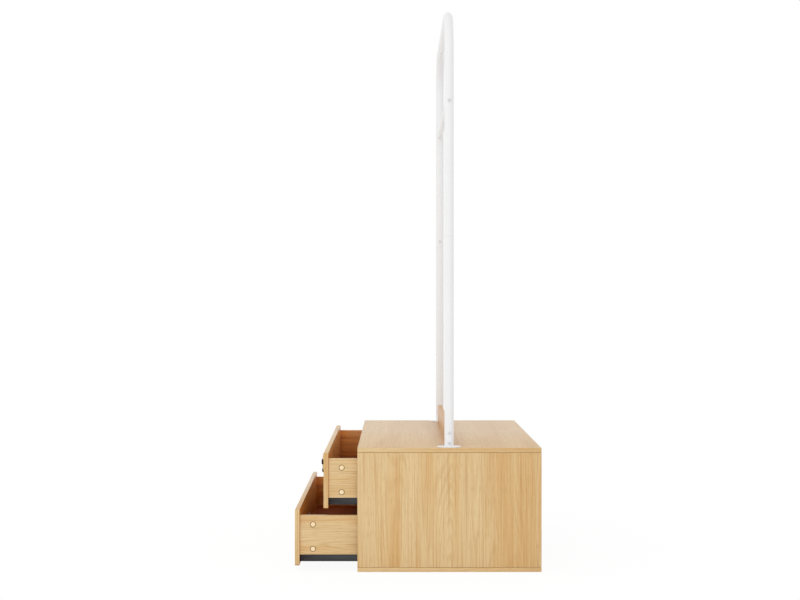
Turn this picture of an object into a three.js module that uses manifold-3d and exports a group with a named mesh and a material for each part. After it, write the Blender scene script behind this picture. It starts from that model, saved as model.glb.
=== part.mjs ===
// Low two-drawer cabinet with a round-tube clothes frame standing on its top.
// Millimetres, +Z up. The origin is the centre of the cabinet's underside, the drawers open to -Y.
import * as THREE from 'three';
import { mergeVertices } from 'three/addons/utils/BufferGeometryUtils.js';
import Module from 'manifold-3d';

const wasm = await Module();
wasm.setup();

// Cabinet
const cabinetWidth = 1000;
const cabinetDepth = 490;
const cabinetHeight = 330;
const boardThickness = 12;
const panelThickness = 15;
const backThickness = 3;
const backInset = 10;
const backGrooveDepth = 5;

// Drawers
const frontThickness = 12.5;
const frontGap = 3;
const frontSideGap = 2;
const sideThickness = 12;
const sideRise = 28.5;
const sideDrop = 15;
const sideClearance = 6;
const drawerRearSpace = 22;
const bottomThickness = 4;
const bottomRise = 5;
const bottomGrooveDepth = 3;
const lowerPull = 167.4;
const upperPull = 90.8;

// Drawer slides: three nested channels of sheet steel under each side of a drawer
const railHeight = 18;
const railWidth = 24;
const railSheet = 1.2;
const railGap = 0.4;
const railWallRise = 8;
const railSetback = 2;

// Cam fittings: a round lock in the drawer side, its cover cap and the bolt that draws up the front
const camRadius = 7.5;
const camSetback = 36;
const camRecess = 1.5;
const camDepth = 8;
const camLowEdge = 15;
const camHighEdge = 24.5;
const camBoltRadius = 3;
const camBoltNeckRadius = 2;
const camBoltNeckLength = 5;
const camBoltBite = 8.5;
const capRadius = 6.2;
const capProud = 0.4;

// Knobs
const knobRadius = 29;
const knobStemRadius = 12;
const knobStemLength = 8;
const knobRimStart = 12.5;
const knobLength = 25.4;
const knobDomeRadius = 140;
const knobEdgeRound = 2.4;
const bandDepth = 8;
const bandProud = 1.9;

// Clothes frame
const tubeRadius = 12.5;
const tubeWall = 1.5;
const frameInset = 35;
const frameHeight = 1184;
const cornerRadius = 120;
const jointHeight = 564.5;
const jointScrewRise = 19.5;
const spigotLength = 45;
const midBarRadius = 9.5;
const midBarHeight = 928;
const midBarEndWall = 10;
const flangeRadius = 32.5;
const flangeThickness = 1.8;
const postNutHeight = 7;
const lowBoardHeight = 53;
const lowBoardThickness = 12.5;
const lowScrewHeights = { low: 11, high: 38 };
const barPlugOffset = 215;
const barPlugRadius = 4;
const barPlugStemRadius = 2.7;
const barPlugHead = 1.2;
const barPlugStem = 4;

// Dark bands across a knob: height of the middle above the knob's axis, and width
const knobBands = { high: { offset: 5, width: 13.4 }, low: { offset: -22, width: 9 } };

// Screws: shank radius, length under the head, head radius and height
const knobScrew = { radius: 2, length: 25, headRadius: 4.2, headHeight: 2.4 };
const lowBoardScrew = { radius: 2, length: 52, headRadius: 4.2, headHeight: 2 };
const midBarScrew = { radius: 2.5, length: 38, headRadius: 4.8, headHeight: 2.5 };
const jointScrew = { radius: 2, length: 7, headRadius: 4.2, headHeight: 2 };
const postBolt = { radius: 4, length: 18, headRadius: 7.5, headHeight: 5 };

// Clearance between a piece and what holds it, and how far a cut runs past a face
const fit = 0.3;
const overcut = 1;

// Facets of the round pieces
const tubeFacets = 20;
const boreFacets = 16;
const screwFacets = 8;
const camFacets = 14;
const knobFacets = 20;
const postFacets = 24;
const cornerSteps = 6;

// Derived places
const sideInner = cabinetWidth / 2 - panelThickness;
const frontFace = -cabinetDepth / 2;
const rearFace = cabinetDepth / 2;
const boxStart = frontFace + frontThickness;
const backRear = rearFace - backInset;
const backFront = backRear - backThickness;
const boxEnd = backFront - drawerRearSpace;
const topUnderside = cabinetHeight - boardThickness;
const frontHeight = (topUnderside - boardThickness - 3 * frontGap) / 2;
const sideHeight = frontHeight - sideRise - sideDrop;
const drawerOuter = sideInner - sideClearance;
const drawerInner = drawerOuter - sideThickness;
const postX = cabinetWidth / 2 - frameInset;
const postFoot = cabinetHeight + flangeThickness;
const seam = cabinetHeight + jointHeight;
const barAxis = cabinetHeight + frameHeight - tubeRadius;
const midBarAxis = cabinetHeight + midBarHeight;
const tubeBore = tubeRadius - tubeWall;
const hands = { left: -1, right: 1 };
const levels = { lower: 0, upper: 1 };
const pulls = { lower: lowerPull, upper: upperPull };

function finish(color, roughness, metalness) {
  return new THREE.MeshStandardMaterial({ color, roughness, metalness });
}

const oak = finish(0xd9b98a, 0.55, 0);
const hardboard = finish(0x9a6a44, 0.7, 0);
const whiteCoat = finish(0xf0f0f1, 0.35, 0);
const whiteScrew = finish(0xe2e2e3, 0.4, 0.2);
const railSteel = finish(0x3d3d3e, 0.45, 0.6);
const zinc = finish(0xb9bbbd, 0.35, 0.9);
const creamPlastic = finish(0xf6dcae, 0.5, 0);
const darkPlastic = finish(0x33190b, 0.4, 0);
const whitePlastic = finish(0xdedede, 0.5, 0);

function at(x, y, z) {
  return new THREE.Vector3(x, y, z);
}

// Welds vertices by position and drops the flat triangles that a turned piece has at its axis.
function weld(geometry) {
  const bare = geometry.clone();
  bare.deleteAttribute('normal');
  bare.deleteAttribute('uv');
  const welded = mergeVertices(bare);
  const corners = welded.index.array;
  const kept = [];
  for (let i = 0; i < corners.length; i += 3) {
    const [a, b, c] = [corners[i], corners[i + 1], corners[i + 2]];
    if (a !== b && b !== c && c !== a) {
      kept.push(a, b, c);
    }
  }
  welded.setIndex(kept);
  return welded;
}

function toSolid(geometry) {
  const welded = weld(geometry);
  const vertProperties = new Float32Array(welded.attributes.position.array);
  const triVerts = new Uint32Array(welded.index.array);
  return new wasm.Manifold(new wasm.Mesh({ numProp: 3, vertProperties, triVerts }));
}

function toGeometry(solid) {
  const { vertProperties, triVerts } = solid.getMesh();
  const geometry = new THREE.BufferGeometry();
  geometry.setAttribute('position', new THREE.BufferAttribute(vertProperties, 3));
  geometry.setIndex(new THREE.BufferAttribute(triVerts, 1));
  return geometry;
}

function cut(geometry, cutters) {
  const remove = (solid, cutter) => solid.subtract(toSolid(cutter));
  return toGeometry(cutters.reduce(remove, toSolid(geometry)));
}

function join(geometries) {
  return toGeometry(geometries.map(toSolid).reduce((whole, next) => whole.add(next)));
}

function box([x0, x1], [y0, y1], [z0, z1]) {
  const shape = new THREE.BoxGeometry(Math.abs(x1 - x0), Math.abs(y1 - y0), Math.abs(z1 - z0));
  return shape.translate((x0 + x1) / 2, (y0 + y1) / 2, (z0 + z1) / 2);
}

// Turns local +Z to a direction and moves the origin to a point.
function aim(geometry, direction, point) {
  const turn = new THREE.Quaternion().setFromUnitVectors(at(0, 0, 1), direction);
  return geometry.clone().applyQuaternion(turn).translate(point.x, point.y, point.z);
}

// A round bar between two points.
function rod(radius, from, to, facets) {
  const along = to.clone().sub(from);
  const shape = new THREE.CylinderGeometry(radius, radius, along.length(), facets);
  shape.rotateX(Math.PI / 2).translate(0, 0, along.length() / 2);
  return aim(shape, along.normalize(), from);
}

// A piece turned about local +Z, from a profile of radius and height pairs.
function turned(profile, facets) {
  const points = profile.map(([radius, height]) => new THREE.Vector2(radius, height));
  return new THREE.LatheGeometry(points, facets).rotateX(Math.PI / 2);
}

// A pan-head screw along local -Z, with its head standing on the origin's plane.
function screw({ radius, length, headRadius, headHeight }) {
  return turned([[0, -length], [radius / 2, -length], [radius, radius - length], [radius, 0],
    [headRadius, 0], [headRadius, headHeight / 2], [headRadius * 0.7, headHeight], [0, headHeight]],
  screwFacets);
}

function screwHole({ radius, length }) {
  return rod(radius + fit, at(0, 0, -length - fit), at(0, 0, overcut), screwFacets);
}

// A closed section of points drawn out along Y. A point is its distance inward from a side panel
// and its height above the drawer side's lower edge.
function drawnAlongY(section, side, foot, [y0, y1]) {
  const corners = section.map(([inward, z]) => new THREE.Vector2(side * (sideInner - inward), foot + z));
  const outline = new THREE.Shape(corners);
  const shape = new THREE.ExtrudeGeometry(outline, { depth: y1 - y0, bevelEnabled: false });
  return shape.rotateX(Math.PI / 2).translate(0, y1, 0);
}

const unit = new THREE.Group();

function add(parent, name, geometry, material) {
  const shape = weld(geometry);
  shape.computeVertexNormals();
  const mesh = new THREE.Mesh(shape, material);
  mesh.name = name;
  parent.add(mesh);
}

// Height of a drawer side's lower edge.
function footOf(level) {
  return boardThickness + frontGap + levels[level] * (frontHeight + frontGap) + sideRise;
}

function addCabinet() {
  const width = [-cabinetWidth / 2, cabinetWidth / 2];
  const depth = [frontFace, rearFace];
  const grooveX = sideInner + backGrooveDepth;
  const grooveZ = [boardThickness - backGrooveDepth, topUnderside + backGrooveDepth];
  const groove = box([-grooveX, grooveX], [backFront - fit, backRear + fit], grooveZ);

  const boltHoles = Object.values(hands).map((side) => aim(screwHole(postBolt), ...postBoltPlace(side)));
  const top = box(width, depth, [topUnderside, cabinetHeight]);
  add(unit, 'top_board', cut(top, [groove, ...boltHoles]), oak);
  add(unit, 'bottom_board', cut(box(width, depth, [0, boardThickness]), [groove]), oak);
  for (const [hand, side] of Object.entries(hands)) {
    const panel = box([side * sideInner, side * cabinetWidth / 2], depth, [boardThickness, topUnderside]);
    add(unit, `side_panel_${hand}`, cut(panel, [groove]), oak);
  }
  const backZ = [grooveZ[0] + fit, grooveZ[1] - fit];
  const back = box([fit - grooveX, grooveX - fit], [backFront, backRear], backZ);
  add(unit, 'back_panel', back, hardboard);
}

// An inverted channel of the slide. Nesting 0 is the drawer's own, 1 runs inside it.
function channelSection(nesting) {
  const step = nesting * (railSheet + railGap);
  const outer = sideClearance + step;
  const inner = sideClearance + railWidth - step;
  const top = -step;
  return [[outer, -railHeight], [outer, top], [inner, top], [inner, -railHeight],
    [inner - railSheet, -railHeight], [inner - railSheet, top - railSheet],
    [outer + railSheet, top - railSheet], [outer + railSheet, -railHeight]];
}

// The rail on the side panel: a wall, a shelf under the other two channels and a third channel inside.
function cabinetRailSection() {
  const step = 2 * (railSheet + railGap);
  const outer = sideClearance + step;
  const inner = sideClearance + railWidth - step;
  const shelf = -railHeight - railGap;
  const foot = shelf - railSheet;
  return [[0, railWallRise], [railSheet, railWallRise], [railSheet, shelf], [outer, shelf],
    [outer, -step], [inner, -step], [inner, foot], [inner - railSheet, foot],
    [inner - railSheet, -step - railSheet], [outer + railSheet, -step - railSheet],
    [outer + railSheet, foot], [0, foot]];
}

function addSlides(level, drawer) {
  const carriage = new THREE.Group();
  carriage.position.y = -pulls[level] / 2;
  unit.add(carriage);
  const reach = (setback) => [boxStart + setback, boxEnd + setback];
  for (const [hand, side] of Object.entries(hands)) {
    const rail = (section, setback) => drawnAlongY(section, side, footOf(level), reach(setback));
    add(unit, `${level}_cabinet_rail_${hand}`, rail(cabinetRailSection(), railSetback), railSteel);
    add(carriage, `${level}_middle_rail_${hand}`, rail(channelSection(1), railSetback / 2), railSteel);
    add(drawer, `${level}_drawer_rail_${hand}`, rail(channelSection(0), 0), railSteel);
  }
}

// Local frame of a cam fitting: +X leaves the drawer side, +Z runs along the bolt into the front.
function camFrame(side, height) {
  const face = at(side, 0, 0);
  const bolt = at(0, -1, 0);
  const across = bolt.clone().cross(face);
  const centre = at(side * drawerOuter, boxStart + camSetback, height);
  return new THREE.Matrix4().makeBasis(face, across, bolt).setPosition(centre);
}

// What a cam fitting removes from the side and the front.
function camCutters(frame) {
  const x = -sideThickness / 2;
  const bore = rod(camRadius + fit, at(-camDepth - fit, 0, 0), at(overcut, 0, 0), camFacets);
  const channel = rod(camBoltRadius + fit, at(x, 0, 0), at(x, 0, camSetback + camBoltBite + fit), camFacets);
  return [bore, channel].map((cutter) => cutter.applyMatrix4(frame));
}

// The lock with its cap and the bolt that it has drawn up.
function camFitting(frame) {
  const lock = rod(camRadius, at(-camDepth, 0, 0), at(-camRecess, 0, 0), camFacets);
  const cap = turned([[0, -camRecess], [capRadius, -camRecess], [capRadius, 0],
    [capRadius - capProud, capProud], [0, capProud]], camFacets);
  const neckEnd = camRadius + camBoltNeckLength;
  const end = camSetback + camBoltBite;
  const bolt = turned([[0, 0], [camBoltNeckRadius, 0], [camBoltNeckRadius, neckEnd],
    [camBoltRadius, neckEnd], [camBoltRadius, end], [0, end]], screwFacets);
  const pieces = [lock, cap.rotateY(Math.PI / 2), bolt.translate(-sideThickness / 2, 0, 0)];
  return join(pieces).applyMatrix4(frame);
}

// Points of the knob's rounded edge and its dome, lifted along local Z.
function domePoints(lift) {
  const rim = knobRadius - knobEdgeRound;
  const rise = lift + knobLength - knobDomeRadius;
  const dome = (radius) => rise + Math.sqrt(knobDomeRadius ** 2 - radius ** 2);
  const step = 0.3 * knobEdgeRound;
  return [[knobRadius, dome(rim) - knobEdgeRound], [knobRadius - step, dome(rim) - step],
    ...[1, 0.75, 0.5, 0.25, 0].map((share) => [rim * share, dome(rim * share)])];
}

// The domed wooden knob along local +Z, with its base on the origin's plane.
function knobBody() {
  return turned([[0, 0], [knobStemRadius, 0], [knobStemRadius, knobStemLength],
    [knobRadius - knobEdgeRound, knobRimStart - knobEdgeRound], [knobRadius, knobRimStart],
    ...domePoints(0)], knobFacets);
}

// A dark band let into the knob's face from rim to rim, and the slot for it.
function knobBand({ offset, width }) {
  const floor = knobLength - bandDepth;
  const slab = (clear) => box([-knobRadius - overcut, knobRadius + overcut],
    [offset - width / 2 - clear, offset + width / 2 + clear],
    [floor - clear, knobLength + bandProud + overcut]);
  const disc = turned([[0, floor], [knobRadius, floor], ...domePoints(bandProud)], knobFacets);
  return { band: toGeometry(toSolid(disc).intersect(toSolid(slab(0)))), slot: slab(fit) };
}

function addKnob(drawer, level, height) {
  const place = [at(0, -1, 0), at(0, frontFace, height)];
  const screwPlace = knobScrewPlace(height);
  const cutters = [aim(screwHole(knobScrew), ...screwPlace)];
  for (const [name, size] of Object.entries(knobBands)) {
    const { band, slot } = knobBand(size);
    cutters.push(aim(slot, ...place));
    add(drawer, `${level}_knob_band_${name}`, aim(band, ...place), darkPlastic);
  }
  add(drawer, `${level}_knob`, cut(aim(knobBody(), ...place), cutters), oak);
  add(drawer, `${level}_knob_screw`, aim(screw(knobScrew), ...screwPlace), zinc);
}

function knobScrewPlace(height) {
  return [at(0, 1, 0), at(0, boxStart, height)];
}

function addDrawer(level) {
  const drawer = new THREE.Group();
  drawer.position.y = -pulls[level];
  unit.add(drawer);
  const foot = footOf(level);
  const height = [foot, foot + sideHeight];
  const frontFoot = foot - sideRise;
  const knobLevel = frontFoot + frontHeight / 2;
  const backInner = boxEnd - sideThickness;
  const grooveX = drawerInner + bottomGrooveDepth;
  const grooveY = [boxStart - bottomGrooveDepth, backInner + bottomGrooveDepth];
  const bottomZ = [foot + bottomRise, foot + bottomRise + bottomThickness];
  const groove = box([-grooveX, grooveX], grooveY, [bottomZ[0] - fit, bottomZ[1] + fit]);
  const camHeights = { low: foot + camLowEdge, high: foot + sideHeight - camHighEdge };
  const camsOn = (side) => Object.values(camHeights).flatMap((z) => camCutters(camFrame(side, z)));

  const frontX = sideInner - frontSideGap;
  const front = box([-frontX, frontX], [frontFace, boxStart], [frontFoot, frontFoot + frontHeight]);
  const knobHole = aim(screwHole(knobScrew), ...knobScrewPlace(knobLevel));
  add(drawer, `${level}_drawer_front`, cut(front, [groove, knobHole, ...camsOn(-1), ...camsOn(1)]), oak);

  for (const [hand, side] of Object.entries(hands)) {
    const board = box([side * drawerInner, side * drawerOuter], [boxStart, boxEnd], height);
    add(drawer, `${level}_drawer_side_${hand}`, cut(board, [groove, ...camsOn(side)]), oak);
    for (const [place, z] of Object.entries(camHeights)) {
      add(drawer, `${level}_cam_${hand}_${place}`, camFitting(camFrame(side, z)), creamPlastic);
    }
  }

  const back = box([-drawerInner, drawerInner], [backInner, boxEnd], height);
  add(drawer, `${level}_drawer_back`, cut(back, [groove]), oak);
  const bottom = box([fit - grooveX, grooveX - fit], [grooveY[0] + fit, grooveY[1] - fit], bottomZ);
  add(drawer, `${level}_drawer_bottom`, bottom, hardboard);
  addKnob(drawer, level, knobLevel);
  addSlides(level, drawer);
}

// The bolt from under the top board into a post's foot.
function postBoltPlace(side) {
  return [at(0, 0, -1), at(side * postX, 0, topUnderside)];
}

// A screw across a post along X, with its head on the outer (+1) or the inner (-1) side of the tube.
function crossScrewPlace(side, headSide, z) {
  const head = side * (postX + headSide * (tubeRadius + fit));
  return [at(side * headSide, 0, 0), at(head, 0, z)];
}

// One turned weldment: flange, nut, tube and the narrower spigot that enters the arch's leg.
function post(side) {
  const spigotRadius = tubeBore * Math.cos(Math.PI / boreFacets) - fit;
  const spigotBore = spigotRadius - tubeWall;
  const spigotTop = seam + spigotLength;
  const nutTop = cabinetHeight + postNutHeight;
  const profile = [[0, cabinetHeight], [flangeRadius, cabinetHeight], [flangeRadius, postFoot],
    [tubeRadius, postFoot], [tubeRadius, seam], [spigotRadius, seam], [spigotRadius, spigotTop],
    [spigotBore, spigotTop], [spigotBore, seam - tubeWall], [tubeBore, seam - 2 * tubeWall],
    [tubeBore, nutTop], [0, nutTop]];
  return turned(profile, postFacets).translate(side * postX, 0, 0);
}

// Stations of the bent tube: the foot of one leg, two quarter bends and the foot of the other leg.
function archStations(past) {
  const bendX = postX - cornerRadius;
  const bendZ = barAxis - cornerRadius;
  const stations = [{ x: postX, z: seam - past, angle: 0 }];
  for (const [centre, start] of [[bendX, 0], [-bendX, Math.PI / 2]]) {
    for (let i = 0; i <= cornerSteps; i += 1) {
      const angle = start + (i / cornerSteps) * (Math.PI / 2);
      const x = centre + cornerRadius * Math.cos(angle);
      stations.push({ x, z: bendZ + cornerRadius * Math.sin(angle), angle });
    }
  }
  stations.push({ x: -postX, z: seam - past, angle: Math.PI });
  return stations;
}

// A round solid swept through stations in the XZ plane, closed by a flat face at each end.
function swept(stations, radius, facets) {
  const position = [];
  const index = [];
  for (const { x, z, angle } of stations) {
    for (let k = 0; k < facets; k += 1) {
      const turn = (k / facets) * 2 * Math.PI;
      const out = radius * Math.cos(turn);
      position.push(x + out * Math.cos(angle), radius * Math.sin(turn), z + out * Math.sin(angle));
    }
  }
  for (let ring = 0; ring + 1 < stations.length; ring += 1) {
    for (let k = 0; k < facets; k += 1) {
      const a = ring * facets + k;
      const b = ring * facets + ((k + 1) % facets);
      index.push(a, b, a + facets, b, b + facets, a + facets);
    }
  }
  const last = (stations.length - 1) * facets;
  for (let k = 1; k + 1 < facets; k += 1) {
    index.push(0, k + 1, k);
    index.push(last, last + k, last + k + 1);
  }
  const geometry = new THREE.BufferGeometry();
  geometry.setAttribute('position', new THREE.Float32BufferAttribute(position, 3));
  geometry.setIndex(index);
  return geometry;
}

// A plug in a hole of the top bar's underside.
function barPlug() {
  return turned([[0, -barPlugHead], [barPlugRadius - barPlugHead / 2, -barPlugHead],
    [barPlugRadius, -barPlugHead / 2], [barPlugRadius, 0], [barPlugStemRadius, 0],
    [barPlugStemRadius, barPlugStem], [0, barPlugStem]], camFacets);
}

function addFrame() {
  const underside = barAxis - tubeRadius - fit;
  const postSpace = [];
  const flangeSpace = [];
  const lowHoles = [];
  const barHoles = [];
  const jointHoles = [];
  const plugHoles = [];

  for (const [hand, side] of Object.entries(hands)) {
    const axis = (z) => at(side * postX, 0, z);
    postSpace.push(rod(tubeRadius + fit, axis(cabinetHeight), axis(barAxis), postFacets));
    flangeSpace.push(rod(flangeRadius + fit, axis(topUnderside), axis(postFoot + fit), postFacets));
    for (const [place, height] of Object.entries(lowScrewHeights)) {
      const screwPlace = crossScrewPlace(side, 1, cabinetHeight + height);
      lowHoles.push(aim(screwHole(lowBoardScrew), ...screwPlace));
      add(unit, `low_board_screw_${hand}_${place}`, aim(screw(lowBoardScrew), ...screwPlace), whiteScrew);
    }
    const barScrewPlace = crossScrewPlace(side, 1, midBarAxis);
    barHoles.push(aim(screwHole(midBarScrew), ...barScrewPlace));
    add(unit, `mid_bar_screw_${hand}`, aim(screw(midBarScrew), ...barScrewPlace), whiteScrew);
    const jointPlace = crossScrewPlace(side, -1, seam + jointScrewRise);
    jointHoles.push(aim(screwHole(jointScrew), ...jointPlace));
    add(unit, `joint_screw_${hand}`, aim(screw(jointScrew), ...jointPlace), whiteScrew);
    add(unit, `post_bolt_${hand}`, aim(screw(postBolt), ...postBoltPlace(side)), zinc);
    const plugX = side * barPlugOffset;
    plugHoles.push(rod(barPlugStemRadius + fit, at(plugX, 0, underside), at(plugX, 0, barAxis), camFacets));
    add(unit, `bar_plug_${hand}`, barPlug().translate(plugX, 0, underside), whitePlastic);
  }

  for (const [hand, side] of Object.entries(hands)) {
    const boltHole = aim(screwHole(postBolt), ...postBoltPlace(side));
    add(unit, `post_${hand}`, cut(post(side), [boltHole, ...lowHoles, ...jointHoles]), whiteCoat);
  }

  const archBore = swept(archStations(overcut), tubeBore, boreFacets);
  const archCuts = [archBore, ...barHoles, ...jointHoles, ...plugHoles];
  add(unit, 'arch', cut(swept(archStations(0), tubeRadius, tubeFacets), archCuts), whiteCoat);

  const barRod = (radius, reach, facets) => (
    rod(radius, at(-reach, 0, midBarAxis), at(reach, 0, midBarAxis), facets)
  );
  const hollow = postX - tubeRadius - fit - midBarEndWall;
  const barBore = barRod(midBarRadius - tubeWall, hollow, boreFacets);
  const bar = barRod(midBarRadius, postX, tubeFacets);
  add(unit, 'mid_bar', cut(bar, [barBore, ...postSpace, ...barHoles]), whiteCoat);

  const board = box([-postX, postX], [-lowBoardThickness / 2, lowBoardThickness / 2],
    [cabinetHeight, cabinetHeight + lowBoardHeight]);
  add(unit, 'low_board', cut(board, [...postSpace, ...flangeSpace, ...lowHoles]), oak);
}

addCabinet();
for (const level of Object.keys(levels)) {
  addDrawer(level);
}
addFrame();

export default unit;
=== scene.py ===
# Kids entryway unit: a low drawer cabinet in oak-look melamine with a white tube frame on its top.
# Metres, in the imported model's frame: +Z is up, the drawers open to -Y and the photo looks along -X.
import math

import bmesh
import bpy
from mathutils import Matrix, Vector


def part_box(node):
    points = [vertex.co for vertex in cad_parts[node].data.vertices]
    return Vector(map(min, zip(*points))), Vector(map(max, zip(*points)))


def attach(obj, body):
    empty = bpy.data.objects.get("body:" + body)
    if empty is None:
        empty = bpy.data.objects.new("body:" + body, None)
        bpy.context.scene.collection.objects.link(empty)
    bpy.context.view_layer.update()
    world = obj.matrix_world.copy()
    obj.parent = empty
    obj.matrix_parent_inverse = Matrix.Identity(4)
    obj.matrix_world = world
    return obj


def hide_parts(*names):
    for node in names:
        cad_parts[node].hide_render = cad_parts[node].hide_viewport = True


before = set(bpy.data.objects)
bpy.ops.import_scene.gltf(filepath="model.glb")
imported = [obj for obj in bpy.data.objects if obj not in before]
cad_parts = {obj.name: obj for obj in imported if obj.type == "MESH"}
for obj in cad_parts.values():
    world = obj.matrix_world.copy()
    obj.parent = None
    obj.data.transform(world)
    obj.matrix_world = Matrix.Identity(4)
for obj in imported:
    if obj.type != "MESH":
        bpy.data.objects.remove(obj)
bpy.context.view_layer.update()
hands = {"left": -1, "right": 1}
levels = ("lower", "upper")
axisX, axisY, axisZ = 0, 1, 2
# Sockets of a Mix node in colour mode: its factor, its two colours and its result.
mixFactor, mixFirst, mixSecond, mixResult = 0, 6, 7, 2
# Depth in metres that a relief in bump shading has at full strength.
reliefDepth = 0.0001


# An sRGB colour in hex as linear red, green, blue and alpha.
def linear(hexColour):
    shares = [int(hexColour[i:i + 2], 16) / 255 for i in (0, 2, 4)]
    bent = [s / 12.92 if s <= 0.04045 else ((s + 0.055) / 1.055) ** 2.4 for s in shares]
    return (*bent, 1.0)


# Adds a node, sets its properties and socket values, and links sockets to other nodes' outputs.
def addNode(tree, kind, settings=None, links=None):
    node = tree.nodes.new("ShaderNode" + kind)
    for name, value in (settings or {}).items():
        if isinstance(name, str) and hasattr(node, name):
            setattr(node, name, value)
        else:
            node.inputs[name].default_value = value
    for name, source in (links or {}).items():
        tree.links.new(source, node.inputs[name])
    return node


def newMaterial(name, settings):
    material = bpy.data.materials.new(name)
    material.use_nodes = True
    tree = material.node_tree
    shader = tree.nodes["Principled BSDF"]
    for socket, value in settings.items():
        shader.inputs[socket].default_value = value
    return material, tree, shader


# Printed oak-look paper under melamine resin: flat and satin. Each layer is a noise stretched along
# the grain, its length and width in metres, mixed over the tone below it. A layer with turns draws
# the contours of its noise, which close into arches like growth lines. Real fibres are about 0.3 mm
# wide; they are drawn 2 to 3.5 mm wide so that they show. The top board and the low board have the
# quieter contrast, along with the painted shade in their own tones below.
melamine = {
    "layers": [
        {"tone": "band", "length": 1.2, "width": 0.07, "detail": 2.0,
         "between": (0.36, 0.68), "share": 0.78},
        {"tone": "streak", "length": 0.9, "width": 0.018, "detail": 2.0,
         "between": (0.54, 0.78), "share": 0.36},
        {"tone": "line", "length": 2.0, "width": 0.14, "detail": 1.0, "turns": 340,
         "between": (-0.3, 1.0), "share": 0.24},
        {"tone": "line", "length": 0.26, "width": 0.0034, "detail": 1.0,
         "between": (0.46, 0.80), "share": 0.54},
        {"tone": "light", "length": 0.25, "width": 0.0032, "detail": 1.0,
         "between": (0.48, 0.76), "share": 0.56},
        {"tone": "pore", "length": 0.03, "width": 0.0020, "detail": 1.0,
         "between": (0.56, 0.80), "share": 0.30},
    ],
    "roughness": (0.30, 0.42),
    "press": 0.1,
    "quietContrast": 0.55,
}
oakTones = {"light": "E0C492", "band": "D4A868", "streak": "C88D48", "line": "C08E50", "pore": "AC7A40"}
# Top board: the oak print darker, with the quieter contrast: painted shade and painted sheen of the light on
# the top; its edges keep the oak.
topShadedTones = {"light": "DAB883", "band": "CC9E64", "streak": "BC8650", "line": "B08552", "pore": "9C7242"}
# Low board: the oak print redder and darker, painted shade and warm bounce of its corner between the posts.
lowShadedTones = {"light": "D2A062", "band": "C4884A", "streak": "B07238", "line": "A46F3C", "pore": "905F2E"}
# Drawer insides: the oak print in a saturated orange-brown, painted warm shade of the deep insides.
insideShadeTones = {"light": "F6A95C", "band": "DE893D", "streak": "C06B28", "line": "A85B20", "pore": "773B11"}


# The UV map is in metres, U along the grain and V across it. The last layer, the pores, also presses
# into the surface, and its noise sets the gloss.
def oakLookMelamine(name, tones, contrast=1.0):
    material, tree, shader = newMaterial(name, {"IOR": 1.5})
    place = addNode(tree, "UVMap", {"uv_map": "grain"}).outputs["UV"]
    base = addNode(tree, "RGB").outputs[0]
    base.default_value = linear(tones["light"])
    for layer in melamine["layers"]:
        scaled = addNode(tree, "Mapping", {"Scale": (1 / layer["length"], 1 / layer["width"], 1)},
                         {"Vector": place})
        noise = addNode(tree, "TexNoise", {"noise_dimensions": "2D", "Scale": 1.0,
                                           "Detail": layer["detail"]}, {"Vector": scaled.outputs["Vector"]})
        source = noise.outputs["Fac"]
        if "turns" in layer:
            spread = addNode(tree, "Math", {"operation": "MULTIPLY", 1: layer["turns"]}, {0: source})
            source = addNode(tree, "Math", {"operation": "SINE"}, {0: spread.outputs[0]}).outputs[0]
        start, end = layer["between"]
        amount = addNode(tree, "MapRange", {"interpolation_type": "SMOOTHSTEP", "From Min": start,
                                            "From Max": end, "To Max": contrast * layer["share"]},
                         {"Value": source}).outputs["Result"]
        base = addNode(tree, "Mix", {"data_type": "RGBA", mixSecond: linear(tones[layer["tone"]])},
                       {mixFactor: amount, mixFirst: base}).outputs[mixResult]
    tree.links.new(base, shader.inputs["Base Color"])
    smooth, dull = melamine["roughness"]
    rough = addNode(tree, "MapRange", {"To Min": smooth, "To Max": dull}, {"Value": noise.outputs["Fac"]})
    tree.links.new(rough.outputs["Result"], shader.inputs["Roughness"])
    press = addNode(tree, "Bump", {"Strength": melamine["press"], "Distance": reliefDepth, "invert": True},
                    {"Height": amount})
    tree.links.new(press.outputs["Normal"], shader.inputs["Normal"])
    return material


oak = oakLookMelamine("oakLookMelamine", oakTones)
topShadedOak = oakLookMelamine("topShadedOakLookMelamine", topShadedTones, melamine["quietContrast"])
lowShadedOak = oakLookMelamine("lowShadedOakLookMelamine", lowShadedTones, melamine["quietContrast"])
drawerInsideShade = oakLookMelamine("insideShadeBrownMelamine", insideShadeTones)

# Fibre flecks come about every 2.4 mm and clouds about every 110 mm.
hardboard = {"flecksPerMetre": 420.0, "cloudsPerMetre": 9.0, "roughness": (0.7, 0.85), "press": 0.3}


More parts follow.
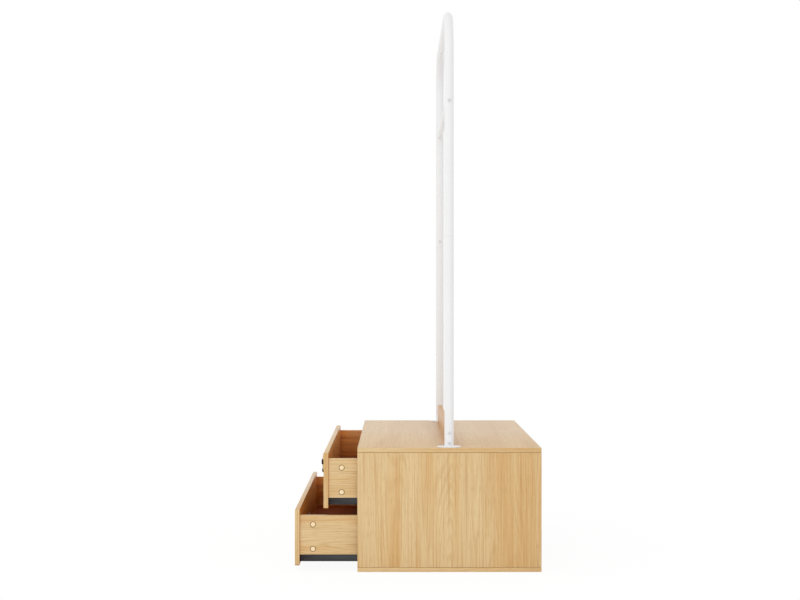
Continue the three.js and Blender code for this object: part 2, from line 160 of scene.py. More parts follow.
# Pressed wood fibre with a smooth brown face: fine flecks, no grain direction.
def hardboardSheet(name, tones):
    material, tree, shader = newMaterial(name, {"IOR": 1.5, "Specular IOR Level": 0.2})
    place = addNode(tree, "TexCoord").outputs["Object"]
    flecks = addNode(tree, "TexNoise", {"Scale": hardboard["flecksPerMetre"], "Detail": 4.0,
                                        "Roughness": 0.65}, {"Vector": place})
    cloud = addNode(tree, "TexNoise", {"Scale": hardboard["cloudsPerMetre"], "Detail": 2.0},
                    {"Vector": place})
    base = addNode(tree, "Mix", {"data_type": "RGBA", mixFirst: linear(tones[0]),
                                 mixSecond: linear(tones[1])}, {mixFactor: flecks.outputs["Fac"]})
    shade = addNode(tree, "Mix", {"data_type": "RGBA", mixSecond: linear(tones[2])},
                    {mixFactor: cloud.outputs["Fac"], mixFirst: base.outputs[mixResult]})
    tree.links.new(shade.outputs[mixResult], shader.inputs["Base Color"])
    smooth, dull = hardboard["roughness"]
    rough = addNode(tree, "MapRange", {"To Min": smooth, "To Max": dull}, {"Value": flecks.outputs["Fac"]})
    tree.links.new(rough.outputs["Result"], shader.inputs["Roughness"])
    press = addNode(tree, "Bump", {"Strength": hardboard["press"], "Distance": reliefDepth},
                    {"Height": flecks.outputs["Fac"]})
    tree.links.new(press.outputs["Normal"], shader.inputs["Normal"])
    return material


# Repeats in a metre along X, Y and Z, and where in the pattern the lines and the fibres begin and end.
# The lines come every few millimetres, as growth rings do. The fibres are about 1 mm wide, coarser than
# real ones, so that they show.
turnedOak = {"ringsPerMetre": (14.0, 110.0, 110.0), "fibresPerMetre": (60.0, 900.0, 900.0), "turns": 5.0,
             "lineStart": 0.5, "lineShare": 0.4, "fibreBetween": (0.5, 0.8), "fibreShare": 0.5,
             "light": "DDBF8E", "line": "BC9260", "fibre": "A67C4E", "roughness": (0.38, 0.5)}


# Turned solid oak, clear lacquered: the grain runs along X and its lines curve over the dome.
def lacqueredOak(name):
    material, tree, shader = newMaterial(name, {"IOR": 1.5, "Coat Weight": 0.25, "Coat Roughness": 0.3})
    place = addNode(tree, "TexCoord").outputs["Object"]
    stretched = addNode(tree, "Mapping", {"Scale": turnedOak["ringsPerMetre"]}, {"Vector": place})
    rings = addNode(tree, "TexNoise", {"Scale": 1.0, "Detail": 1.5}, {"Vector": stretched.outputs["Vector"]})
    thin = addNode(tree, "Mapping", {"Scale": turnedOak["fibresPerMetre"]}, {"Vector": place})
    fibres = addNode(tree, "TexNoise", {"Scale": 1.0, "Detail": 2.0}, {"Vector": thin.outputs["Vector"]})
    turns = addNode(tree, "Math", {"operation": "MULTIPLY", 1: turnedOak["turns"]},
                    {0: rings.outputs["Fac"]})
    wave = addNode(tree, "Math", {"operation": "FRACT"}, {0: turns.outputs[0]})
    lines = addNode(tree, "MapRange", {"interpolation_type": "SMOOTHSTEP",
                                       "From Min": turnedOak["lineStart"],
                                       "To Max": turnedOak["lineShare"]}, {"Value": wave.outputs[0]})
    base = addNode(tree, "Mix", {"data_type": "RGBA", mixFirst: linear(turnedOak["light"]),
                                 mixSecond: linear(turnedOak["line"])}, {mixFactor: lines.outputs["Result"]})
    start, end = turnedOak["fibreBetween"]
    streak = addNode(tree, "MapRange", {"From Min": start, "From Max": end,
                                        "To Max": turnedOak["fibreShare"]}, {"Value": fibres.outputs["Fac"]})
    fine = addNode(tree, "Mix", {"data_type": "RGBA", mixSecond: linear(turnedOak["fibre"])},
                   {mixFactor: streak.outputs["Result"], mixFirst: base.outputs[mixResult]})
    tree.links.new(fine.outputs[mixResult], shader.inputs["Base Color"])
    smooth, dull = turnedOak["roughness"]
    rough = addNode(tree, "MapRange", {"To Min": smooth, "To Max": dull}, {"Value": fibres.outputs["Fac"]})
    tree.links.new(rough.outputs["Result"], shader.inputs["Roughness"])
    return material


# A material in one colour with a cloudy second tone and a fine relief, both at a real size in metres.
def finishedSurface(name, tones, settings, shaderSettings):
    material, tree, shader = newMaterial(name, shaderSettings)
    place = addNode(tree, "TexCoord").outputs["Object"]
    cloud = addNode(tree, "TexNoise", {"Scale": 1 / settings["cloud"], "Detail": 2.0}, {"Vector": place})
    mix = addNode(tree, "Mix", {"data_type": "RGBA", mixFirst: linear(tones[0]),
                                mixSecond: linear(tones[1])}, {mixFactor: cloud.outputs["Fac"]})
    tree.links.new(mix.outputs[mixResult], shader.inputs["Base Color"])
    stretched = addNode(tree, "Mapping", {"Scale": settings.get("stretch", (1, 1, 1))}, {"Vector": place})
    relief = addNode(tree, "TexNoise", {"Scale": 1 / settings["relief"], "Detail": 2.0},
                     {"Vector": stretched.outputs["Vector"]})
    smooth, dull = settings["roughness"]
    rough = addNode(tree, "MapRange", {"To Min": smooth, "To Max": dull}, {"Value": relief.outputs["Fac"]})
    tree.links.new(rough.outputs["Result"], shader.inputs["Roughness"])
    press = addNode(tree, "Bump", {"Strength": settings["press"], "Distance": reliefDepth},
                    {"Height": relief.outputs["Fac"]})
    tree.links.new(press.outputs["Normal"], shader.inputs["Normal"])
    return material


# Powder-coated steel: baked thick paint with a faint orange peel about 2 mm across.
whiteCoat = finishedSurface(
    "whitePowderCoat", ("EFEFEF", "EAEAEB"),
    {"cloud": 0.15, "relief": 0.002, "press": 0.12, "roughness": (0.30, 0.38)}, {"IOR": 1.5})
# Lacquered screw heads: the same white, a shade greyer.
whiteScrew = finishedSurface(
    "whiteScrewLacquer", ("E4E4E6", "D9D9DB"),
    {"cloud": 0.004, "relief": 0.0012, "press": 0.1, "roughness": (0.3, 0.42)}, {"IOR": 1.5})
# Cold-rolled slide steel with a dark grey dip coat: rolling marks run along Y.
railSteel = finishedSurface(
    "dipCoatedSlideSteel", ("404143", "37383A"),
    {"cloud": 0.05, "relief": 0.0012, "stretch": (1, 0.03, 1), "press": 0.15, "roughness": (0.38, 0.52)},
    {"Metallic": 0.35, "IOR": 1.5})
# Zinc-plated steel: bright grey with a mottled crystal finish.
zincPlate = finishedSurface(
    "zincPlatedSteel", ("C2C4C6", "A9ABAD"),
    {"cloud": 0.003, "relief": 0.001, "press": 0.1, "roughness": (0.25, 0.4)}, {"Metallic": 1.0})
# Injection-moulded ABS cover caps in cream.
creamAbs = finishedSurface(
    "creamMouldedAbs", ("FDE4B8", "F8DBAA"),
    {"cloud": 0.01, "relief": 0.0008, "press": 0.08, "roughness": (0.35, 0.45)}, {"IOR": 1.53})
# The same plastic in dark tan on the lock's face: painted shade of the recess that shows as a ring round
# each cover cap.
recessShadeAbs = finishedSurface(
    "recessShadeTanAbs", ("7A5230", "694526"),
    {"cloud": 0.01, "relief": 0.0008, "press": 0.08, "roughness": (0.45, 0.6)}, {"IOR": 1.53})
# The same plastic in dark brown, with a finely eroded mould face that hardly mirrors anything.
darkAbs = finishedSurface(
    "darkBrownMouldedAbs", ("3A1606", "2E1004"),
    {"cloud": 0.01, "relief": 0.0008, "press": 0.2, "roughness": (0.55, 0.7)},
    {"IOR": 1.53, "Specular IOR Level": 0.05})
# Soft polyethylene plugs, slightly waxy.
whitePe = finishedSurface(
    "whiteMouldedPolyethylene", ("DCDCDC", "D3D3D3"),
    {"cloud": 0.01, "relief": 0.001, "press": 0.08, "roughness": (0.4, 0.5)}, {"IOR": 1.51})
# Drawer bottoms: hardboard, a real brown, made redder and darker as painted warm shade inside the drawers.
shadeRedHardboard = hardboardSheet("shadeRedBrownHardboard", ("A04C1A", "803A10", "8C4012"))
plainHardboard = hardboardSheet("plainHardboard", ("8E6642", "775233", "82593A"))
knobOak = lacqueredOak("lacqueredTurnedOak")
print("materials ready")


# The place at the origin whose local Z points along the direction.
def placeAlong(origin, direction):
    turn = Vector(direction).to_track_quat("Z", "Y").to_matrix().to_4x4()
    return Matrix.Translation(origin) @ turn


# Makes a named object of a bmesh, which it frees.
def meshObject(name, bm):
    mesh = bpy.data.meshes.new(name)
    bm.to_mesh(mesh)
    bm.free()
    holder = bpy.data.objects.new(name, mesh)
    bpy.context.scene.collection.objects.link(holder)
    return holder


def roundedBox(low, high, radius, steps):
    bm = bmesh.new()
    size = Vector(high) - Vector(low)
    middle = Matrix.Translation((Vector(high) + Vector(low)) / 2)
    bmesh.ops.create_cube(bm, size=1, matrix=middle @ Matrix.Diagonal((*size, 1)))
    bmesh.ops.bevel(bm, geom=bm.edges[:], offset=radius, offset_type="OFFSET", segments=steps,
                    profile=0.5, affect="EDGES", material=-1)
    return bm


cutterEdge = {"round": 0.0001, "steps": 1}
# Points that lie closer together than this become one.
mergeDistance = 1e-6


# A box to cut with, its edges all but sharp, moved to its place.
def cutterBox(low, high, place):
    bm = roundedBox(low, high, cutterEdge["round"], cutterEdge["steps"])
    bmesh.ops.transform(bm, matrix=place, verts=bm.verts[:])
    return bm


# A piece turned about local Z, from radius and height pairs that start and end on the axis.
def turned(profile, place, steps):
    bm = bmesh.new()
    points = [bm.verts.new((radius, 0, height)) for radius, height in profile]
    edges = [bm.edges.new(pair) for pair in zip(points, points[1:])]
    bmesh.ops.spin(bm, geom=points + edges, cent=(0, 0, 0), axis=(0, 0, 1), angle=2 * math.pi,
                   steps=steps, use_merge=True)
    bmesh.ops.remove_doubles(bm, verts=bm.verts[:], dist=mergeDistance)
    bmesh.ops.recalc_face_normals(bm, faces=bm.faces[:])
    bmesh.ops.transform(bm, matrix=place, verts=bm.verts[:])
    return bm


def cylinder(radius, start, end, steps):
    start, end = Vector(start), Vector(end)
    length = (end - start).length
    profile = [(0, 0), (radius, 0), (radius, length), (0, length)]
    return turned(profile, placeAlong(start, end - start), steps)


# Cuts shapes out of a piece and gives the result back as a new bmesh.
def carved(bm, cutters):
    host = meshObject("temporary", bm)
    tools = [meshObject("temporary", cutter) for cutter in cutters]
    for tool in tools:
        step = host.modifiers.new("cut", "BOOLEAN")
        step.operation = "DIFFERENCE"
        step.solver = "EXACT"
        step.object = tool
    result = bmesh.new()
    result.from_object(host, bpy.context.evaluated_depsgraph_get())
    for holder in [host, *tools]:
        mesh = holder.data
        bpy.data.objects.remove(holder)
        bpy.data.meshes.remove(mesh)
    return result


# Edges that bend by more degrees than this stay sharp.
smoothAngles = {"usual": 35, "bent": 30, "knob": 40}


# Adds the piece that stands for a CAD node: it rides on the node's body and takes its place.
def addPiece(node, form, bm, body, materials, smoothing="usual"):
    piece = meshObject(f"{node}_{form}", bm)
    mesh = piece.data
    for material in materials:
        mesh.materials.append(material)
    mesh.shade_smooth()
    mesh.set_sharp_from_angle(angle=math.radians(smoothAngles[smoothing]))
    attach(piece, body)
    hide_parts(node)
    return piece


# Gives a solid that is carried over from the frame its material.
def dressNode(node, material):
    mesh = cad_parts[node].data
    mesh.materials.clear()
    mesh.materials.append(material)


# The cosines tell a board's inner face and its edges from its other faces by their normals.
boards = {"edgeRound": 0.0008, "edgeSteps": 2, "shadowGap": 0.00055, "bareEdge": 0.0018,
          "innerCosine": 0.9, "edgeCosine": 0.5}
# Order of a board's materials: its print, the brown print of painted shade inside a drawer, the drawer
# bottoms' red-brown for a strip along a front's lower edge and another print for edges.
boardSlots = {"look": 0, "inner": 1, "bare": 2, "edge": 3}
# Where each board is cut from the printed pattern.
boardGrain = {
    "top_board": 3.726, "bottom_board": 8.848, "low_board": 3.6,
    "side_panel_left": 4.952, "side_panel_right": 5.848,
    "lower_drawer_front": 18.136, "lower_drawer_back": 5.9,
    "lower_drawer_side_left": 2.63, "lower_drawer_side_right": 3.215,
    "upper_drawer_front": 7.257, "upper_drawer_back": 7.6,
    "upper_drawer_side_left": 7.04, "upper_drawer_side_right": 7.644,
}
# How the faces of one board move on the pattern: apart for each axis and side, along and across it.
grainShift = {"perAxis": 0.31, "highSide": 0.17, "along": 3.7, "across": 1.9}


# Lays the printed grain on each face: along the board's grain, or along the edge on end faces.
def layGrain(bm, grain, seed):
    layer = bm.loops.layers.uv.new("grain")
    bm.normal_update()
    corners = [vert.co for vert in bm.verts]
    size = [max(c[i] for c in corners) - min(c[i] for c in corners) for i in range(3)]
    for face in bm.faces:
        facing = max(range(3), key=lambda i: abs(face.normal[i]))
        flat = [i for i in range(3) if i != facing]
        along = grain if grain in flat else max(flat, key=lambda i: size[i])
        across = flat[0] if flat[1] == along else flat[1]
        highSide = grainShift["highSide"] if face.normal[facing] > 0 else 0
        shift = seed + grainShift["perAxis"] * facing + highSide
        for loop in face.loops:
            spot = loop.vert.co
            loop[layer].uv = (spot[along] + grainShift["along"] * shift,
                              spot[across] + grainShift["across"] * shift)


# A thin strip along a front's lower edge takes the drawer bottoms' dark red-brown, so a thin dark line shows
# there.
def bareLowerEdge(bm, height):
    bmesh.ops.bisect_plane(bm, geom=bm.verts[:] + bm.edges[:] + bm.faces[:], plane_co=(0, 0, height),
                           plane_no=(0, 0, 1))
    for face in bm.faces:
        if face.calc_center_median().z < height:
            face.material_index = boardSlots["bare"]


def boardPiece(node, body, grain, look=oak, edgeLook=None, innerFace=None, cutters=(), trim=0.0,
               bareEdge=False):
    low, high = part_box(node)
    cutBack = Vector((0, 0, trim))
    bm = roundedBox(low + cutBack, high - cutBack, boards["edgeRound"], boards["edgeSteps"])
    if bareEdge:
        bareLowerEdge(bm, low.z + boards["bareEdge"])
    if cutters:
        bm = carved(bm, cutters)
    layGrain(bm, grain, boardGrain[node])
    for face in bm.faces:
        # Inner faces take the brown print: painted shade inside a drawer.
        if innerFace and face.normal.dot(innerFace) > boards["innerCosine"]:
            face.material_index = boardSlots["inner"]
        if edgeLook and abs(face.normal.z) < boards["edgeCosine"]:
            face.material_index = boardSlots["edge"]
    addPiece(node, "melamine", bm, body, [look, drawerInsideShade, shadeRedHardboard, edgeLook or look])


# The top board's faces take the darker, quieter print as painted shade and sheen; its edges keep the oak.
boardPiece("top_board", "cabinet", axisX, look=topShadedOak, edgeLook=oak)
boardPiece("bottom_board", "cabinet", axisX)
for hand in hands:
    boardPiece(f"side_panel_{hand}", "cabinet", axisZ, trim=boards["shadowGap"])
dressNode("back_panel", plainHardboard)
print("cabinet boards ready")


tube = {"radius": 0.0125, "wall": 0.0015, "corner": 0.12, "seamChamfer": 0.0005, "sides": 48,
        "bendSteps": 20}
flange = {"radius": 0.0325, "thickness": 0.0018, "edge": 0.0005, "weld": 0.0028, "weldSteps": 4,
          "floor": 0.005}
# The spigot's bore ends below the seam and widens there to the tube's bore.
spigot = {"radius": 0.0105, "length": 0.045, "wall": 0.0015, "boreEnd": 0.002, "taperEnd": 0.004}
archLow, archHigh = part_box("arch")
seamZ = archLow.z
barZ = archHigh.z - tube["radius"]
postX = archHigh.x - tube["radius"]
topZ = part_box("top_board")[1].z


# One turned profile: the flange, a concave weld, the tube, the spigot at its top and the bore inside.
def weldedPost(hand, side):
    radius, chamfer = tube["radius"], tube["seamChamfer"]
    rim, edge = flange["radius"], flange["edge"]
    plate = topZ + flange["thickness"]
    floor = plate + flange["floor"]
    bore = radius - tube["wall"]
    inner = spigot["radius"] - spigot["wall"]
    spigotTop = seamZ + spigot["length"]
    profile = [(0, topZ), (rim - edge, topZ), (rim, topZ + edge), (rim, plate - edge), (rim - edge, plate)]
    for i in range(flange["weldSteps"] + 1):
        turn = i / flange["weldSteps"] * math.pi / 2
        profile.append((radius + flange["weld"] * (1 - math.sin(turn)),
                        plate + flange["weld"] * (1 - math.cos(turn))))
    profile += [(radius, seamZ - chamfer), (radius - chamfer, seamZ), (spigot["radius"], seamZ),
                (spigot["radius"], spigotTop), (inner, spigotTop), (inner, seamZ - spigot["boreEnd"]),
                (bore, seamZ - spigot["taperEnd"]), (bore, floor), (0, floor)]
    bm = turned(profile, Matrix.Translation((side * postX, 0, 0)), tube["sides"])
    addPiece(f"post_{hand}", "tube", bm, "cabinet", [whiteCoat], "bent")


# The bent tube: a circle drawn up one leg, round two bends and down the other leg. Its edges and points
# are gathered once each and in a fixed order.
def bentArch():
    bm = bmesh.new()
    radius, chamfer = tube["radius"], tube["seamChamfer"]
    start = Matrix.Translation((postX, 0, seamZ))
    circle = bmesh.ops.create_circle(bm, segments=tube["sides"], radius=radius - chamfer, matrix=start)
    ring = list(dict.fromkeys(edge for vert in circle["verts"] for edge in vert.link_edges))

    def drawOn(edges, shift, widen=1.0, centre=None):
        grown = bmesh.ops.extrude_edge_only(bm, edges=edges)["geom"]
        verts = [item for item in grown if isinstance(item, bmesh.types.BMVert)]
        if centre:
            bmesh.ops.scale(bm, vec=(widen, widen, 1), verts=verts,
                            space=Matrix.Translation(-Vector(centre)))
        bmesh.ops.translate(bm, vec=shift, verts=verts)
        return [item for item in grown if isinstance(item, bmesh.types.BMEdge)
                and all(vert in verts for vert in item.verts)]

    def bend(edges, centre):
        verts = list(dict.fromkeys(vert for edge in edges for vert in edge.verts))
        last = bmesh.ops.spin(bm, geom=verts + edges, cent=centre, axis=(0, -1, 0), angle=math.pi / 2,
                              steps=tube["bendSteps"])["geom_last"]
        return [item for item in last if isinstance(item, bmesh.types.BMEdge)]

    bendX = postX - tube["corner"]
    bendZ = barZ - tube["corner"]
    ring = drawOn(ring, (0, 0, chamfer), radius / (radius - chamfer), (postX, 0, seamZ))
    ring = drawOn(ring, (0, 0, bendZ - seamZ - chamfer))
    ring = bend(ring, (bendX, 0, bendZ))
    ring = drawOn(ring, (-2 * bendX, 0, 0))
    ring = bend(ring, (-bendX, 0, bendZ))
    ring = drawOn(ring, (0, 0, seamZ + chamfer - bendZ))
    drawOn(ring, (0, 0, -chamfer), (radius - chamfer) / radius, (-postX, 0, seamZ + chamfer))
    bmesh.ops.recalc_face_normals(bm, faces=bm.faces[:])
    piece = addPiece("arch", "bent_tube", bm, "cabinet", [whiteCoat], "bent")
    wall = piece.modifiers.new("wall", "SOLIDIFY")
    wall.thickness = tube["wall"]
    wall.offset = -1


for hand, side in hands.items():
    weldedPost(hand, side)
bentArch()

# Clearances and lengths of what the mid bar and the low board have cut out for the posts.
postCuts = {"barClear": 0.0001, "boardClear": 0.0003, "drop": 0.002, "flangeHeight": 0.0041,
            "tubeHeight": 0.2}


# A straight bar between the posts, its ends hollowed to their round.
def midBar():
    low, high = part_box("mid_bar")
    height = (low.z + high.z) / 2
    bar = cylinder((high.z - low.z) / 2, (-postX, 0, height), (postX, 0, height), tube["sides"])
    clear = tube["radius"] + postCuts["barClear"]
    posts = [cylinder(clear, (side * postX, 0, topZ), (side * postX, 0, barZ), tube["sides"])
             for side in hands.values()]
    addPiece("mid_bar", "tube", carved(bar, posts), "cabinet", [whiteCoat], "bent")


# The board between the posts, cut out round each post and its flange.
def lowBoard():
    cuts = []
    for side in hands.values():
        foot = Vector((side * postX, 0, topZ - postCuts["drop"]))
        for radius, height in ((tube["radius"], postCuts["tubeHeight"]),
                               (flange["radius"], postCuts["flangeHeight"])):
            cuts.append(cylinder(radius + postCuts["boardClear"], foot, foot + Vector((0, 0, height)),
                                 tube["sides"]))
    # Its redder, darker print is painted shade of the corner between the posts.
    boardPiece("low_board", "cabinet", axisX, look=lowShadedOak, cutters=cuts)


midBar()
lowBoard()
print("tube frame ready")


# Pan heads with a hex socket, from the head's outer face inwards. The crown gives shares of the head's
# radius and of its height, from its middle to its rim.
screwKinds = {
    "low_board_screw": {"head": 0.0042, "height": 0.002, "shank": 0.002, "length": 0.02, "socket": 0.0016},
    "mid_bar_screw": {"head": 0.0048, "height": 0.0025, "shank": 0.0025, "length": 0.02, "socket": 0.002},
    "joint_screw": {"head": 0.0042, "height": 0.002, "shank": 0.002, "length": 0.007, "socket": 0.0016},
    "knob_screw": {"head": 0.0042, "height": 0.0024, "shank": 0.002, "length": 0.025, "socket": 0.0016},
}
screwShape = {"crown": ((0, 0), (0.62, 0), (0.84, 0.16), (0.97, 0.48), (1, 0.8), (1, 1)), "sides": 24,
              "socketDepth": 0.0012, "socketSides": 6}
# The crown gives shares of the plug's radius, and depths.
plug = {"crown": ((0, 0), (0.6, 0.0001), (0.85, 0.0003), (1, 0.0008), (1, 0.0012)), "stem": 0.0027,
        "rim": 0.0012, "length": 0.0052, "sides": 24}


def socketScrew(node, kind, top, outward, body, finish):
    size = screwKinds[kind]
    head, height, shank = size["head"], size["height"], size["shank"]
    tip = -height - size["length"]
    profile = [(share * head, -depth * height) for share, depth in screwShape["crown"]]
    profile += [(shank, -height), (shank, tip), (0, tip)]
    place = placeAlong(top, outward)
    bm = turned(profile, place, screwShape["sides"])
    socket = bmesh.new()
    bmesh.ops.create_cone(socket, cap_ends=True, segments=screwShape["socketSides"], radius1=size["socket"],
                          radius2=size["socket"], depth=2 * screwShape["socketDepth"], matrix=place)
    addPiece(node, "head", carved(bm, [socket]), body, [finish])


# A screw along X whose head faces the given side.
def crossScrew(node, kind, side):
    low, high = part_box(node)
    middle = (low + high) / 2
    face = high.x if side > 0 else low.x
    socketScrew(node, kind, (face, middle.y, middle.z), (side, 0, 0), "cabinet", whiteScrew)


# A plug pushed up into the top bar, its shallow crown below.
def barPlug(node):
    low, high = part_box(node)
    radius = (high.x - low.x) / 2
    profile = [(share * radius, -depth) for share, depth in plug["crown"]]
    profile += [(plug["stem"], -plug["rim"]), (plug["stem"], -plug["length"]), (0, -plug["length"])]
    place = placeAlong(((low.x + high.x) / 2, 0, low.z), (0, 0, -1))
    addPiece(node, "cap", turned(profile, place, plug["sides"]), "cabinet", [whitePe])


for hand, side in hands.items():
    for place in ("low", "high"):
        crossScrew(f"low_board_screw_{hand}_{place}", "low_board_screw", side)
    crossScrew(f"mid_bar_screw_{hand}", "mid_bar_screw", side)
    crossScrew(f"joint_screw_{hand}", "joint_screw", -side)
    barPlug(f"bar_plug_{hand}")
    dressNode(f"post_bolt_{hand}", zincPlate)
print("fasteners ready")


# The crown gives shares of the cap's radius and of its rise over the board. The lock's dark tan, painted
# shade of the recess round the cap, starts at a share of that recess.
cam = {"cap": 0.0062, "proud": 0.0004, "crown": ((0, 1), (0.55, 1), (0.85, 0.8), (0.96, 0.4), (1, -0.3)),
       "lock": 0.0075, "recess": 0.0015, "lockStart": 0.9, "lockSlot": 1, "depth": 0.008, "sides": 32,
       "bore": 0.0078, "boreDepth": 0.0083, "boreRise": 0.002}


# Centre of a cam fitting on the outer face of a drawer side, from its CAD node.
def camCentre(level, hand, place, side):
    low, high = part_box(f"{level}_cam_{hand}_{place}")
    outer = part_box(f"{level}_drawer_side_{hand}")[1 if side > 0 else 0].x
    return Vector((outer, high.y - cam["lock"], (low.z + high.z) / 2))


# The bore that the drawer side has cut out for a cam fitting.
def camBore(centre, side):
    outward = Vector((side, 0, 0))
    return cylinder(cam["bore"], centre - cam["boreDepth"] * outward, centre + cam["boreRise"] * outward,
                    cam["sides"])


def camFitting(level, hand, place, side):
    centre = camCentre(level, hand, place, side)
    cap, lock, recess, depth = cam["cap"], cam["lock"], cam["recess"], cam["depth"]
    profile = [(share * cap, rise * cam["proud"]) for share, rise in cam["crown"]]
    profile += [(cap, -recess), (lock, -recess), (lock, -depth), (0, -depth)]
    bm = turned(profile, Matrix.Identity(4), cam["sides"])
    for face in bm.faces:
        if face.calc_center_median().z < -cam["lockStart"] * recess:
            face.material_index = cam["lockSlot"]
    bmesh.ops.transform(bm, matrix=placeAlong(centre, (side, 0, 0)), verts=bm.verts[:])
    addPiece(f"{level}_cam_{hand}_{place}", "cap", bm, f"{level}_drawer", [creamAbs, recessShadeAbs])


# Lengths run from the drawer front outwards. The corner under the rim lies at two shares of the edge's
# radius, one outwards and one back towards the front.
knob = {"radius": 0.029, "length": 0.0254, "stem": 0.012, "stemLength": 0.008, "footFlare": 0.001,
        "neckFlare": 0.0015, "rimStart": 0.0125, "rimInset": 0.001, "underEdge": (0.6, 0.7), "edge": 0.0024,
        "dome": 0.14, "sides": 96, "domeSteps": 10, "edgeSteps": 5}
knobBands = {"depth": 0.008, "proud": 0.0019, "clear": 0.0003,
             "round": 0.0008, "roundSteps": 3, "roundAngle": 50,
             "places": {"high": {"rise": 0.005, "width": 0.0134}, "low": {"rise": -0.022, "width": 0.009}}}


# The knob's rounded edge and dome as radius and height pairs, lifted above its face.
def domePoints(lift):
    rim, edge = knob["radius"] - knob["edge"], knob["edge"]
    centre = lift + knob["length"] - knob["dome"]
    shoulder = centre + math.sqrt(knob["dome"] ** 2 - rim ** 2) - edge
    points = []
    for i in range(knob["edgeSteps"] + 1):
        turn = i / knob["edgeSteps"] * math.pi / 2
        points.append((rim + edge * math.cos(turn), shoulder + edge * math.sin(turn)))
    for i in range(1, knob["domeSteps"] + 1):
        radius = rim * (1 - i / knob["domeSteps"])
        points.append((radius, centre + math.sqrt(knob["dome"] ** 2 - radius ** 2)))
    return points


# A dark band is what is left of a raised disc once the space above and below it is cut away.
def knobBand(level, name, place):
    size = knobBands["places"][name]
    floor = knob["length"] - knobBands["depth"]
    reach = 2 * knob["radius"]
    low, high = size["rise"] - size["width"] / 2, size["rise"] + size["width"] / 2
    profile = [(0, floor), (knob["radius"], floor), *domePoints(knobBands["proud"])]
    disc = turned(profile, place, knob["sides"])
    away = [cutterBox((-reach, -reach, 0), (reach, low, reach), place),
            cutterBox((-reach, high, 0), (reach, reach, reach), place)]
    piece = addPiece(f"{level}_knob_band_{name}", "inlay", carved(disc, away), f"{level}_drawer",
                     [darkAbs])
    soft = piece.modifiers.new("soft", "BEVEL")
    soft.width = knobBands["round"]
    soft.segments = knobBands["roundSteps"]
    soft.limit_method = "ANGLE"
    soft.angle_limit = math.radians(knobBands["roundAngle"])


# A slot across the knob's face that takes a dark band with a little room.
def bandSlot(size, place):
    floor = knob["length"] - knobBands["depth"] - knobBands["clear"]
    half = size["width"] / 2 + knobBands["clear"]
    reach = 2 * knob["radius"]
    return cutterBox((-reach, size["rise"] - half, floor), (reach, size["rise"] + half, reach), place)


def domedKnob(level):
    low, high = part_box(f"{level}_knob")
    centre = Vector((0, high.y, (low.z + high.z) / 2))
    place = placeAlong(centre, (0, -1, 0))
    stem, stemLength, foot, neck = knob["stem"], knob["stemLength"], knob["footFlare"], knob["neckFlare"]
    rimStart, edge = knob["rimStart"], knob["edge"]
    rim = knob["radius"] - edge
    outward, down = knob["underEdge"]
    profile = [(0, 0), (stem + foot, 0), (stem, foot), (stem, stemLength - neck), (stem + neck, stemLength),
               (rim - knob["rimInset"], rimStart - edge), (rim + outward * edge, rimStart - down * edge),
               (knob["radius"], rimStart), *domePoints(0)]
    slots = []
    for name, size in knobBands["places"].items():
        slots.append(bandSlot(size, place))
        knobBand(level, name, place)
    body = turned(profile, place, knob["sides"])
    addPiece(f"{level}_knob", "turned", carved(body, slots), f"{level}_drawer", [knobOak],
             "knob")
    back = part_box(f"{level}_knob_screw")[1]
    socketScrew(f"{level}_knob_screw", "knob_screw", (0, back.y, centre.z), (0, 1, 0), f"{level}_drawer",
                zincPlate)


# The cabinet's rail runs under the middle rail's outer wall and rises inside it. The rise's inner face
# lies so many sheets in from that wall's outer face, and its crown the nest gap below the middle rail's.
rail = {"sheet": 0.0012, "bend": 0.0020, "bendSteps": 4, "riseSheets": 2.5, "nestGap": 0.0004}


# A folded sheet-steel rail: its middle line in X and Z is drawn along Y, its bends rounded.
def foldedRail(node, body, line, start, end):
    bm = bmesh.new()
    points = [bm.verts.new((x, start, z)) for x, z in line]
    edges = [bm.edges.new(pair) for pair in zip(points, points[1:])]
    grown = bmesh.ops.extrude_edge_only(bm, edges=edges)["geom"]
    moved = [item for item in grown if isinstance(item, bmesh.types.BMVert)]
    bmesh.ops.translate(bm, vec=(0, end - start, 0), verts=moved)
    folds = [edge for edge in bm.edges if len(edge.link_faces) == 2]
    bmesh.ops.bevel(bm, geom=folds, offset=rail["bend"], offset_type="OFFSET", segments=rail["bendSteps"],
                    profile=0.5, affect="EDGES", material=-1)
    bmesh.ops.recalc_face_normals(bm, faces=bm.faces[:])
    piece = addPiece(node, "folded", bm, body, [railSteel], "bent")
    sheet = piece.modifiers.new("sheet", "SOLIDIFY")
    sheet.thickness = rail["sheet"]
    sheet.offset = 0


# A channel that is open below: the middle rails and those under the drawer sides.
def channelRail(node, body):
    low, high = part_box(node)
    half = rail["sheet"] / 2
    line = [(low.x + half, low.z), (low.x + half, high.z - half), (high.x - half, high.z - half),
            (high.x - half, low.z)]
    foldedRail(node, body, line, low.y, high.y)


def cabinetRail(level, hand, side):
    node = f"{level}_cabinet_rail_{hand}"
    low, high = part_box(node)
    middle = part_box(f"{level}_middle_rail_{hand}")
    half = rail["sheet"] / 2
    wall = (high.x if side > 0 else low.x) - side * half
    free = (low.x if side > 0 else high.x) + side * half
    rise = side * rail["riseSheets"] * rail["sheet"]
    outer = (middle[1].x if side > 0 else middle[0].x) - rise + side * half
    crown = middle[1].z - rail["sheet"] - rail["nestGap"] - half
    floor = low.z + half
    line = [(wall, high.z), (wall, floor), (outer, floor), (outer, crown), (free, crown), (free, low.z)]
    foldedRail(node, "cabinet", line, low.y, high.y)


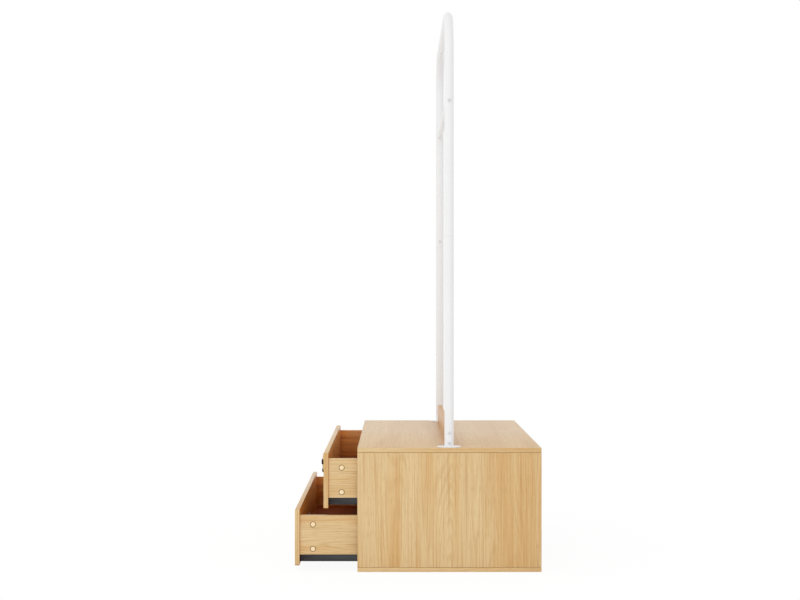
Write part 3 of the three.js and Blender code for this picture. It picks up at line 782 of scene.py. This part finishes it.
def drawer(level):
    body = f"{level}_drawer"
    for hand, side in hands.items():
        bores = []
        for place in ("low", "high"):
            bores.append(camBore(camCentre(level, hand, place, side), side))
            camFitting(level, hand, place, side)
        boardPiece(f"{level}_drawer_side_{hand}", body, axisY, innerFace=Vector((-side, 0, 0)),
                   cutters=bores)
        channelRail(f"{level}_drawer_rail_{hand}", body)
        channelRail(f"{level}_middle_rail_{hand}", f"{level}_carriage")
        cabinetRail(level, hand, side)
    boardPiece(f"{level}_drawer_front", body, axisX, innerFace=Vector((0, 1, 0)), bareEdge=True)
    boardPiece(f"{level}_drawer_back", body, axisX, innerFace=Vector((0, -1, 0)))
    # The bottom's red-brown holds painted warm shade of the drawer's inside.
    dressNode(f"{level}_drawer_bottom", shadeRedHardboard)
    domedKnob(level)
    print(level, "drawer ready")


for level in levels:
    drawer(level)


stage = {"floorSize": 30.0, "floorColour": "FAFAFA", "floorRoughness": 0.9, "ownLight": 0.94,
         "shadowShare": 0.07}


# 1 for the rays that show the white studio itself: camera, glossy and transmission rays.
def whiteToTheEye(tree):
    rays = addNode(tree, "LightPath")
    white = rays.outputs["Is Camera Ray"]
    for kind in ("Is Glossy Ray", "Is Transmission Ray"):
        both = addNode(tree, "Math", {"operation": "MAXIMUM"}, {0: white, 1: rays.outputs[kind]})
        white = both.outputs[0]
    return white


# White paper that glows to the eye and keeps a share of the object's shadow.
def whiteFloor():
    bm = bmesh.new()
    bmesh.ops.create_grid(bm, x_segments=1, y_segments=1, size=stage["floorSize"] / 2)
    floor = meshObject("floor", bm)
    colour = linear(stage["floorColour"])
    paper = {"Base Color": colour, "Roughness": stage["floorRoughness"], "Specular IOR Level": 0.0}
    material, tree, shader = newMaterial("whiteFloorPaper", paper)
    seenWhite = whiteToTheEye(tree)
    glow = addNode(tree, "Emission", {"Color": (1, 1, 1, 1), "Strength": stage["ownLight"]})
    dim = addNode(tree, "BsdfDiffuse", {"Color": colour})
    share = addNode(tree, "MixShader", {0: stage["shadowShare"]}, {2: dim.outputs[0]})
    seen = addNode(tree, "AddShader", {}, {0: glow.outputs[0], 1: share.outputs[0]})
    choose = addNode(tree, "MixShader", {}, {0: seenWhite, 1: shader.outputs[0], 2: seen.outputs[0]})
    tree.links.new(choose.outputs[0], tree.nodes["Material Output"].inputs["Surface"])
    floor.data.materials.append(material)


whiteFloor()
# An even sky and two weak lamps on the camera's side: the key from above, the low one from beside the
# drawers' fronts.
lights = {
    "sky": 0.90,
    "key": {"place": (8.0, -2.7, 4.2), "aim": (0, 0, 0.6), "size": 5.0, "power": 30},
    "low": {"place": (10.0, -9.0, 1.5), "aim": (0.3, 0, 0.7), "size": 5.0, "power": 270},
}


# Reflections show the white studio alone, so the lamps leave no highlight of their own.
def areaLight(name):
    settings = lights[name]
    lamp = bpy.data.lights.new(name, "AREA")
    lamp.shape = "SQUARE"
    lamp.size = settings["size"]
    lamp.energy = settings["power"]
    holder = bpy.data.objects.new(name, lamp)
    holder.location = settings["place"]
    direction = Vector(settings["aim"]) - Vector(settings["place"])
    holder.rotation_euler = direction.to_track_quat("-Z", "Y").to_euler()
    holder.visible_glossy = False
    bpy.context.scene.collection.objects.link(holder)


# An even sky that lights the object a little less than it shows.
def studioSky():
    world = bpy.data.worlds.new("studio")
    world.use_nodes = True
    tree = world.node_tree
    strength = addNode(tree, "MapRange", {"To Min": lights["sky"], "To Max": 1.0},
                       {"Value": whiteToTheEye(tree)})
    background = tree.nodes["Background"]
    background.inputs["Color"].default_value = (1, 1, 1, 1)
    tree.links.new(strength.outputs["Result"], background.inputs["Strength"])
    bpy.context.scene.world = world


areaLight("key")
areaLight("low")
studioSky()
bpy.context.scene.view_settings.view_transform = "Standard"

# The photo's own viewpoint, worked out from its vanishing point: level, square to the side.
view = {"place": (4.820, -0.141, 0.722), "lens": 73.1, "sensor": 36.0, "shift": (0.0044, 0.00075)}
camera = bpy.data.cameras.new("camera")
camera.lens = view["lens"]
camera.sensor_width = view["sensor"]
camera.shift_x, camera.shift_y = view["shift"]
cameraHolder = bpy.data.objects.new("camera", camera)
cameraHolder.location = view["place"]
cameraHolder.rotation_euler = (math.pi / 2, 0, math.pi / 2)
bpy.context.scene.collection.objects.link(cameraHolder)
bpy.context.scene.camera = cameraHolder

bpy.context.view_layer.update()
